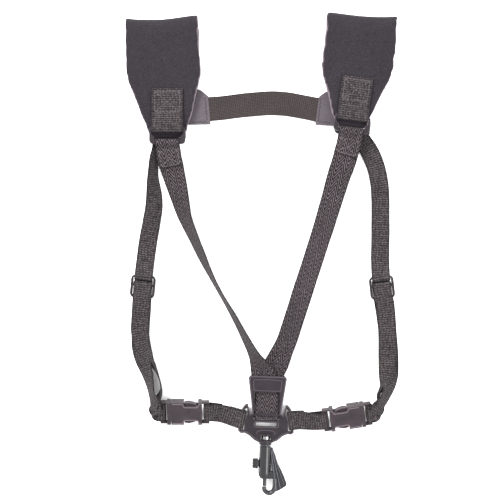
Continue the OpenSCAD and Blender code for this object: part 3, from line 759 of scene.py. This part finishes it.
def stitches(name, lines, at, length=2.6, pause=0.8, width=0.75, height=0.42):
    """Rows of thread: each stitch is a small rounded bar lying along its line.
    A line is two points (across, down); at() puts such a point on the cloth."""
    form = bmesh.new()
    for start, end in lines:
        start, end = np.array(start, float), np.array(end, float)
        run = np.linalg.norm(end - start)
        count = max(int(run / (length + pause)), 1)
        for i in range(count):
            a = start + (end - start) * (i + STITCH_FROM) / count
            b = start + (end - start) * (i + STITCH_TO) / count
            add_stitch(form, at(*a), at(*b), width, height)
    mesh = bpy.data.meshes.new(name)
    form.to_mesh(mesh)
    form.free()
    return finished(name, mesh)


def add_stitch(form, a, b, width, height):
    a, b = Vector(a), Vector(b)
    along = (b - a).normalized()
    side = along.cross(Vector((0, 0, 1))).normalized()
    top = side.cross(along)
    rings = []
    for t, grow in ((0.0, 0.35), (0.18, 0.85), (0.5, 1.0), (0.82, 0.85), (1.0, 0.35)):
        centre = a.lerp(b, t)
        ring = []
        for k in range(8):
            q = k * math.pi / 4
            offset = side * math.cos(q) * width / 2 + top * math.sin(q) * height
            ring.append(form.verts.new((centre + offset * grow) * MM))
        rings.append(ring)
    for one, two in zip(rings, rings[1:]):
        for k in range(8):
            form.faces.new((one[k], one[(k + 1) % 8], two[(k + 1) % 8], two[k]))
    form.faces.new(reversed(rings[0]))
    form.faces.new(rings[-1])


# ---- tabs: u runs from the ring's middle up the tab ------------------------------------
LEFT_RING, RIGHT_RING = (-98, 124.3, 0), (91.5, 136.3, -7)
LEFT_REAR, RIGHT_REAR = (-98, 128.5, 0), (93, 134.8, -7)
TAB_LOW_Z = 15.2
LEFT_TAB_TOP, RIGHT_TAB_TOP = 15.1, 16.9
REAR_PATH = [[44, 0.9], [26, 1.0], [12, 1.1], [8, 1.1], [5.9, 1.2], [4.2, 1.95], [4.05, 3.8],
             [4.2, 5.65], [5.9, 6.4], [7.5, 6.45], [9.2, 6.4]]
# The tabs' thread: half its width, where its box starts and ends down the tab, and a bar
SEAM_HALF, SEAM_FROM, SEAM_TO, SEAM_BAR = 12.8, 3, 24, 30


def tab_route(at, path):
    x, y, turn = at
    c, s = math.cos(math.radians(turn)), math.sin(math.radians(turn))
    return [[x - u * s, y + u * c, z, turn, 0] for u, z in path]


def front_path(top_z):
    return [[48, top_z], [34, (top_z + TAB_LOW_Z) / 2], [20, TAB_LOW_Z], [15, 16.6], [10, 18],
            [6.1, 18.2], [4.3, 17.3], [4.1, 15.4], [4.3, 13.5], [6.1, 12.8], [9, 13.05],
            [12.5, 13.5]]


def on_strip(route, thick, side):
    """Maps (across, distance down the strip) to a point on its upper or lower face."""
    centre, _, wide, up, s = evenly(route, 0.25)

    def place(across, down):
        i = min(max(int(round(down / (s[1] - s[0]))), 0), len(s) - 1)
        return tuple(centre[i] + wide[i] * across + up[i] * side * (thick / 2 - 0.02))
    return place


def box_and_cross(name, route, thick, side, half, low, high, bars=()):
    """The thread of a box with a cross between two distances down a strip."""
    corners = [(-half, low), (half, low), (half, high), (-half, high)]
    lines = [(corners[k], corners[(k + 1) % 4]) for k in range(4)]
    lines += [(corners[0], corners[2]), (corners[1], corners[3])]
    lines += [((-half, down), (half, down)) for down in bars]
    return stitches(name, lines, on_strip(route, thick, side))


# ---- the straps' routes: the same stations as the CAD's ----------------------------------
BAND_ROUTE = [
    [-64, 152.4, 1.3, 90, 0], [-54, 153, 1.3, 90, 0], [-40, 154.2, 1.5, 90, 0],
    [-20, 156.6, 2.2, 90, 0], [5, 158.7, 2.6, 90, 0], [24, 158, 2.2, 90, 0],
    [40, 155.4, 1.5, 90, 0], [54, 152.6, 1.3, 90, 0], [63, 151, 1.3, 90, 0]
]
TAPE_ROUTE = [
    [-94.2, 92.5, 13.9, 0, 6], [-95.2, 98, 14.2, 0, 2.5], [-96.2, 104, 14.7, 0, 0.5],
    [-96.8, 109.4, 14.9, 0, 0], [-97.2, 112, 15.6, 0, 0], [-97.6, 114.6, 17.6, 0, 0],
    [-97.8, 116, 18, 0, 0], [-97.8, 118.4, 18.1, 0, 0], [-97.8, 120, 17.2, 0, 0],
    [-97.8, 120.1, 15.4, 0, 0], [-97.8, 120, 13.6, 0, 0], [-97.8, 118.4, 12.7, 0, 0],
    [-97.7, 114.5, 12.7, 0, 0], [-97, 108.5, 12.7, 0, 0], [-96, 102, 12.5, 0, 0.5],
    [-94.6, 96, 12, 0, 3], [-92.6, 88, 11.5, 0, 12], [-90.5, 80, 11.2, 0, 22],
    [-85.2, 60, 11.2, 0, 39], [-79.8, 40, 12, 0, 53],
    [-71.3, 20, 12.6, 0, 62], [-62.5, 0, 12.9, 0, 67], [-53, -20, 13.2, 0, 75],
    [-42.2, -40, 13.2, 0, 78], [-30.5, -60, 12.9, 0, 74], [-20, -80, 12.6, 0, 70],
    [-9.5, -100, 11.8, 0, 60], [-4.2, -110, 10.4, 0, 40], [-0.5, -118, 8.6, 0, 14],
    [2.4, -125, 7.8, -2, 2], [4.8, -136, 7.6, -2, 0], [4.3, -155, 7.7, -2, 0],
    [4.1, -161, 8.2, -2, 0], [4, -164.2, 8.9, -2, 0], [3.9, -166.4, 9.1, -2, 0],
    [3.8, -167.5, 8.4, -2, 0], [3.8, -167.6, 6.6, -2, 0], [3.8, -167.5, 4.8, -2, 0],
    [3.9, -166.4, 4.1, -2, 0], [4, -164.2, 4.3, -2, 0], [4.1, -161, 4.9, -2, 0],
    [4.3, -155, 5.5, -2, 0],
    [5, -136, 5.5, -2, 0], [7.3, -125, 5.6, 0, 1], [11, -117, 6.1, 0, 7],
    [15.3, -109, 7.2, 0, 17], [20, -98, 8.5, 0, 30], [26.5, -82, 8.7, 0, 35],
    [40, -40, 8.7, 0, 35], [53, 0, 8.7, 0, 35], [65.7, 40, 8.7, 0, 32],
    [77.5, 80, 10, 0, 20], [82, 93, 11.2, -2, 11], [85, 103, 11.9, -4, 5],
    [87.6, 113, 12.4, -6, 1.5], [89.6, 122, 12.7, -7, 0], [90.4, 127.2, 12.8, -7, 0],
    [90.8, 130.4, 12.7, -7, 0], [91, 132, 13.6, -7, 0], [91, 132.1, 15.4, -7, 0],
    [91, 132, 17.2, -7, 0], [90.8, 130.4, 18.1, -7, 0], [90.5, 127.9, 18, -7, 0],
    [90.3, 126.7, 17.6, -7, 0], [90, 124.1, 15.6, -7, 0], [89.6, 121.5, 14.9, -7, 0],
    [88.3, 115.5, 14.7, -6.3, 0.7], [86.6, 109.5, 14.4, -5.2, 2], [85.1, 104.3, 14.2, -4.2, 4.4]
]
LEFT_SIDE_ROUTE = [
    [-104, 111, 6.0, 0, 0], [-104, 118, 6.5, 0, 0], [-104, 122.6, 6.4, 0, 0],
    [-104, 124.3, 5.65, 0, 0], [-104, 124.5, 3.8, 0, 0], [-104, 124.3, 1.95, 0, 0],
    [-104, 122.6, 1.2, 0, 0], [-104.1, 117.5, 1.25, 0, 0],
    [-107, 110, 5.6, 0, -34], [-111.5, 101, 9.3, 0, -62], [-113, 88, 9.5, 0, -63],
    [-113, 76, 8.9, 0, -52], [-112.2, 62, 6.6, 0, -34], [-112.6, 50, 4.9, 0, -20],
    [-115, 36, 3, 0, -9], [-118.4, 18, 1.5, 0, -3], [-120.9, 0, 2.2, -3, 0],
    [-122.2, -13, 7, -5.3, 0], [-122.7, -19.6, 8.9, -5.3, 0], [-122.9, -21.7, 9, -5.3, 0],
    [-123.1, -23.4, 8, -5.3, 0], [-123.1, -23.9, 6.2, -5.3, 0], [-123.2, -24.1, 4.2, -5.3, 0],
    [-123.3, -25.4, 2.2, -5.3, 0], [-123.5, -28, 1.25, -5.3, 0], [-124.8, -42, 1.1, -5, 0],
    [-125.6, -58, 1.1, -2, 0], [-126.8, -78, 1.3, 0, 0], [-126.2, -94, 2.8, 0, 8],
    [-123.2, -107, 5.8, 0, 26], [-119.4, -119, 8.2, 0, 46], [-116.4, -131, 9.8, 6, 60],
    [-114.2, -142, 10.6, 20, 66], [-110.2, -152, 12.8, 58, 38], [-108.4, -160, 13, 88, 22],
    [-105.6, -161, 12.8, 90, 20],
    [-102.2, -161.1, 12.8, 90, 20], [-100.5, -160.7, 11.6, 90, 20], [-100.2, -160, 9.8, 90, 20],
    [-100.5, -159.3, 8, 90, 20], [-102.2, -159, 7.1, 90, 20], [-105.6, -159.1, 7, 90, 20],
    [-107.6, -158.8, 7.1, 89.5, 20.5], [-110, -155.4, 8.2, 76, 32], [-107.4, -146, 10.2, 30, 64],
    [-104.6, -138.6, 10.2, 8, 80], [-105.2, -131, 10.2, 2, 83], [-108, -122, 10.2, 0, 80],
    [-112.6, -112, 10, 0, 67], [-118.6, -102.6, 9, 0, 44], [-124, -91, 7.8, 0, 20],
    [-126.8, -76, 6.6, 0, 4], [-126, -60, 6.6, -2, 0], [-125.2, -48, 8, -5, 0],
    [-124.6, -40, 9, -5.3, 0], [-124, -33, 9, -5.3, 0], [-123.5, -28.1, 9, -5.3, 0],
    [-123.4, -26.5, 8.1, -5.3, 0], [-123.4, -26.4, 6.2, -5.3, 0], [-123.4, -26.5, 4.3, -5.3, 0],
    [-123.5, -28.1, 3.4, -5.3, 0], [-124, -33, 3.4, -5.3, 0], [-124.6, -40, 3.3, -5.3, 0],
    [-125.1, -49, 3.8, -5, 0]
]
RIGHT_SIDE_ROUTE = [
    [102, 116, 5.8, 0, 0], [100.4, 123, 6.4, -7, 0], [99.8, 128, 6.6, -7, 0],
    [99.6, 131.2, 3.8, -7, 0], [99.8, 128, 1.25, -7, 0], [100.8, 124, 1.3, -5, 0],
    [104, 119, 1.5, -2, 0],
    [109.5, 111, 2.4, 0, 0], [115, 99, 3, 0, 6], [118.6, 87, 3.6, 0, 12],
    [121, 72, 3.8, 0, 14], [122, 56, 3.4, 0, 10], [122, 38, 2.4, 0, 6],
    [122.2, 18, 1.3, 0, 0], [121.7, 0, 2.2, 3, 0], [121.5, -13, 7, 6.3, 0],
    [121.9, -20.6, 8.9, 6.3, 0], [122.2, -22.8, 9, 6.3, 0], [122.4, -24.5, 8, 6.3, 0],
    [122.4, -24.9, 6.2, 6.3, 0], [122.4, -25.1, 4.2, 6.3, 0], [122.6, -26.4, 2.2, 6.3, 0],
    [122.9, -29, 1.25, 6.3, 0], [124.6, -43, 1.1, 6, 0], [127, -58, 1.1, 3, 0],
    [129.4, -78, 1.2, 0, 0], [131, -96, 1.4, 0, -2], [131.6, -112, 2.4, 0, -8],
    [131.4, -124, 4.4, -6, -20], [129.6, -136, 7.6, -22, -44], [124.6, -147.8, 10, -42, -54],
    [117.4, -156, 12.6, -64, -36], [114.6, -161.6, 13.2, -80.5, -20.5],
    [112.1, -162.1, 12.9, -81.5, -20],
    [108.8, -162.6, 12.9, -81.5, -20], [107.1, -162.4, 11.6, -81.5, -20],
    [106.7, -161.8, 9.8, -81.5, -20], [106.9, -161.1, 8, -81.5, -20],
    [108.5, -160.6, 7.1, -81.5, -20], [111.8, -160.1, 7.1, -81.5, -20],
    [114.6, -159.4, 7.2, -81, -20.5], [118.2, -156.8, 7.8, -74, -30],
    [119.6, -150.5, 9.2, -58, -56],
    [119.4, -142, 10.2, -42, -74], [124.6, -133.6, 10.6, -24, -58],
    [127.2, -124, 10.2, -8, -30], [128.4, -113, 9.2, -2, -10], [128.8, -100, 8, 0, -3],
    [128.8, -82, 7, 0, 0], [127.8, -62, 6.8, 3, 0], [126.4, -49, 8, 6, 0],
    [124.2, -41, 9, 6.3, 0], [123.4, -34, 9, 6.3, 0], [122.9, -29.1, 9, 6.3, 0],
    [122.7, -27.5, 8.1, 6.3, 0], [122.7, -27.4, 6.2, 6.3, 0], [122.7, -27.5, 4.3, 6.3, 0],
    [122.9, -29.1, 3.4, 6.3, 0], [123.4, -34, 3.4, 6.3, 0], [124.2, -41, 3.3, 6.3, 0],
    [125.3, -50, 3.8, 6, 0]
]
LEFT_LOWER_ROUTE = [
    [-36, -163.9, 4.4, 79, 0], [-29, -166, 3.9, 78, 0], [-24, -167.4, 3.3, 78, 0],
    [-21.3, -168, 3.1, 78, 0], [-19.4, -168.4, 4.1, 78, 0], [-19.1, -168.5, 6.6, 78, 0],
    [-19.4, -168.4, 9.1, 78, 0], [-21.3, -168, 10.1, 78, 0], [-24, -167.4, 9.9, 78, 0],
    [-29, -166, 9.3, 78, 0], [-38, -163, 9, 81, 6], [-45, -161.4, 10.3, 86, 14],
    [-52, -160.9, 12.2, 90, 20], [-58.5, -161, 12.5, 90, 20], [-60, -160.7, 11.7, 90, 20],
    [-60.3, -160, 9.8, 90, 20], [-60, -159.3, 7.9, 90, 20], [-58.5, -159, 7.1, 90, 20],
    [-52, -159.4, 6.9, 90, 20], [-43.5, -161.2, 6.6, 85, 9]
]
RIGHT_LOWER_ROUTE = [
    [43, -168.8, 4.5, 96, 0], [36.6, -168.9, 4, 98, 0], [31.6, -169.4, 3.3, 98, 0],
    [28.8, -169.8, 3.1, 98, 0], [26.9, -170.1, 4.1, 98, 0], [26.6, -170.1, 6.6, 98, 0],
    [26.9, -170.1, 9.1, 98, 0], [28.8, -169.8, 10.1, 98, 0], [31.6, -169.4, 9.9, 98, 0],
    [36.6, -168.9, 9.3, 98, 0], [44, -169.4, 9.1, 96, 6], [52, -170, 10.4, 97, 14],
    [59, -169.8, 12.2, 98.5, 20], [65.6, -168.9, 12.5, 98.5, 20],
    [67, -168.4, 11.7, 98.5, 20], [67.2, -167.7, 9.8, 98.5, 20],
    [66.8, -167.1, 7.9, 98.5, 20], [65.3, -167, 7.1, 98.5, 20],
    [59, -168.2, 6.9, 98.5, 20], [50, -169.8, 6.6, 97, 9]
]


# ---- what goes where -----------------------------------------------------------------
RING_BEVEL = 0.7
# The thread on each band patch follows these corners, just over the patch's top
LEFT_ZIGZAG = [(-59.5, 165), (-57.5, 139.5), (-75, 139)]
RIGHT_ZIGZAG = [(60.5, 164), (57.5, 139.5), (71, 138.5)]
PATCH_TOP = 2.45
# Stations of TAPE_ROUTE inside the slide, where the tape is cut on its way down and back
SLIDE_IN, SLIDE_OUT = 30, 42
TAPE_SEAM_HALF, TAPE_SEAM_FROM, TAPE_SEAM_TO = 9.5, 1.2, 16.5
# Station numbers where a side strap is cut, and of the plug's bar
LEFT_MARKS = {"slide": 21, "outer": 28, "bar": 38, "inner": 50}
RIGHT_MARKS = {"slide": 19, "outer": 26, "bar": 36, "inner": 47}


def place_ribbon(name, route, width, thick, height, slot, nodes, body, **more):
    piece = dress(ribbon(name, route, width, thick, height, **more), slot, nodes)
    if body:
        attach(piece, body)
    return piece


def share_at(route, index):
    """The share of the route's length at station number index."""
    rows = dense(vector_stations(route), FINE)[:, :3]
    run = np.concatenate([[0], np.cumsum(np.linalg.norm(np.diff(rows, axis=0), axis=1))])
    return float(run[index * FINE] / run[-1])


def shoulders():
    pad("left_pad", "harness", LEFT_CREST, LEFT_RING)
    pad("right_pad", "harness", RIGHT_CREST, RIGHT_RING)
    webbing = cross_ribs(2.3)
    tabs = [("left_front_tab", LEFT_RING, front_path(LEFT_TAB_TOP)),
            ("right_front_tab", RIGHT_RING, front_path(RIGHT_TAB_TOP)),
            ("left_rear_tab", LEFT_REAR, REAR_PATH),
            ("right_rear_tab", RIGHT_REAR, REAR_PATH)]
    for node, at, path in tabs:
        place_ribbon(node + "_cloth", tab_route(at, path), TAB_W, STRAP_T, webbing,
                     "webbing", [node], "harness", across=22)
    for side, (_, at, path) in zip(("left", "right"), tabs):
        thread = box_and_cross(side + "_tab_thread", tab_route(at, path), STRAP_T, 1,
                               SEAM_HALF, SEAM_FROM, SEAM_TO, bars=(SEAM_BAR,))
        dress(thread, "thread", ["tab_stitching"])
        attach(thread, "harness")
    for node in ("left_front_ring", "right_front_ring", "left_rear_ring", "right_rear_ring"):
        hard(node, "harness", "plastic", RING_BEVEL)


def zigzag_lines(corners, reach=1.3, pitch=2.2):
    """A zigzag that follows the lines between corner points."""
    lines = []
    for start, end in zip(corners, corners[1:]):
        start, end = np.array(start, float), np.array(end, float)
        run = np.linalg.norm(end - start)
        along = (end - start) / run
        side = np.array([-along[1], along[0]])
        count = int(run / pitch)
        for i in range(count):
            a = start + along * pitch * i + side * reach * (-1) ** i
            b = start + along * pitch * (i + 1) - side * reach * (-1) ** i
            lines.append((tuple(a), tuple(b)))
    return lines


def cross_band():
    place_ribbon("elastic_cloth", BAND_ROUTE, BAND_W, BAND_T, knitted(1.5), "elastic",
                 ["elastic_band"], "harness", across=52)
    for node, zigzag in (("left_band_patch", LEFT_ZIGZAG), ("right_band_patch", RIGHT_ZIGZAG)):
        hard(node, "harness", "patch_cloth", 0.5)
        thread = stitches(node + "_thread", zigzag_lines(zigzag),
                          lambda x, y: (x, y, PATCH_TOP), length=9, width=0.6, height=0.35)
        dress(thread, "dark_thread")
        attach(thread, "harness")


def front_tape():
    twill = herringbone(4.5, 5.0)
    top = share_at(TAPE_ROUTE, SLIDE_IN)
    back = share_at(TAPE_ROUTE, SLIDE_OUT)
    cuts = [("left_tape", (0, top)), ("tape_loop", (top, back)), ("right_tape", (back, 1))]
    for name, cut in cuts:
        piece = place_ribbon(name, TAPE_ROUTE, TAPE_W, TAPE_T, twill, "tape",
                             ["front_tape"], None, cut=cut, across=36, step=0.45)
        if name == "tape_loop":
            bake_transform(piece)
        else:
            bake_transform(piece)


def tape_threads():
    length = evenly(TAPE_ROUTE, 0.25)[4][-1]
    ends = [("left_tape_thread", -1, TAPE_SEAM_FROM, TAPE_SEAM_TO),
            ("right_tape_thread", 1, length - TAPE_SEAM_TO, length - TAPE_SEAM_FROM)]
    for name, side, low, high in ends:
        thread = box_and_cross(name, TAPE_ROUTE, TAPE_T, side, TAPE_SEAM_HALF, low, high)
        dress(thread, "thread")
        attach(thread, "harness")


def side_strap(side, route, marks):
    """Four lengths of one strap: ring to slide, below the slide, round the buckle, front."""
    webbing = cross_ribs(2.4)
    outer = share_at(route, marks["slide"])
    turn = share_at(route, marks["outer"])
    back = share_at(route, marks["inner"])
    lengths = [("upper", (0, outer)), ("under", (outer, turn)), ("bottom", (turn, back)),
               ("front", (back, 1))]
    for name, cut in lengths:
        piece = place_ribbon(f"{side}_{name}_strap", route, STRAP_W, STRAP_T, webbing,
                             "webbing", [side + "_side_strap"], None, cut=cut)
        if name == "upper":
            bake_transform(piece)
        elif name == "bottom":
            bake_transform(piece)
        else:
            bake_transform(piece)


def moulded_parts():
    """Each part's node, body, finish and the bevel on its edges, in millimetres."""
    parts = [("front_slide", "front_slide", "plastic", 0.7),
             ("centre_plate", "harness", "plastic", 0.7),
             ("swivel_stud", "hook", "steel", 0.4),
             ("gate_bolt", "gate", "hook_plastic", 0.3)]
    for side in ("left", "right"):
        parts.append((side + "_strap_slide", side + "_strap_slide", "plastic", 0.6))
        parts.append((side + "_buckle_plug", side + "_plug", "buckle_plastic", 0.7))
        parts.append((side + "_buckle_socket", "harness", "buckle_plastic", 0.9))
        for level in ("upper", "lower"):
            prong = f"{side}_{level}_prong"
            parts.append((prong, prong, "buckle_plastic", 0.5))
    for node, body, slot, bevel in parts:
        hard(node, body, slot, bevel)
    spring = hard("gate_spring", "hook", "steel", 0.05)
    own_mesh(spring)
    hook_pieces()
    beads()
    buckle_beads()


FINISHES = {
    "pad_cloth": knit("pad_cloth", (0.0055, 0.0045, 0.0058), (0.027, 0.022, 0.0282), 900,
                      edge=(0.12, 0.095, 0.11)),
    # Webbing, tape and elastic: the low colour is painted shade in the grooves, the high one a
    # painted highlight on yarn tops
    "webbing": woven("webbing", (0.003, 0.0024, 0.0026), (0.066, 0.056, 0.059)),
    "tape": woven("tape", (0.003, 0.0024, 0.0027), (0.085, 0.07, 0.077), pebble=600),
    "elastic": woven("elastic", (0.013, 0.01, 0.01), (0.046, 0.038, 0.038), yarn=1800,
                     pebble=900, dark=0.7),
    "patch_cloth": knit("patch_cloth", (0.035, 0.029, 0.034), (0.09, 0.078, 0.088), 1300),
    "thread": knit("thread", (0.035, 0.03, 0.032), (0.12, 0.105, 0.11), 3000),
    "dark_thread": knit("dark_thread", (0.003, 0.0025, 0.003), (0.012, 0.01, 0.012), 3000),
    # The third colour of each moulded finish is a highlight painted on its bevels and on the tops
    # of rods and beads
    "buckle_plastic": moulded("buckle_plastic", (0.017, 0.0132, 0.0152), (0.03, 0.0235, 0.027),
                              (0.1, 0.08, 0.09), 0.3, shine=0.1),
    "plastic": moulded("plastic", (0.011, 0.0088, 0.0106), (0.02, 0.016, 0.0195),
                       (0.062, 0.051, 0.06), 0.32, shine=0.1),
    "hook_plastic": moulded("hook_plastic", (0.0035, 0.0035, 0.0042), (0.008, 0.008, 0.01),
                            (0.075, 0.075, 0.095), 0.2, shine=0.15, coat=0.35),
    "steel": metal("steel", 0.2, 0.2),
}

stage_and_camera()
shoulders()
cross_band()
front_tape()
tape_threads()
side_strap("left", LEFT_SIDE_ROUTE, LEFT_MARKS)
side_strap("right", RIGHT_SIDE_ROUTE, RIGHT_MARKS)
for side, route in (("left", LEFT_LOWER_ROUTE), ("right", RIGHT_LOWER_ROUTE)):
    place_ribbon(side + "_lower_cloth", route, STRAP_W, STRAP_T, cross_ribs(2.4), "webbing",
                 [side + "_lower_strap"], "harness")
moulded_parts()
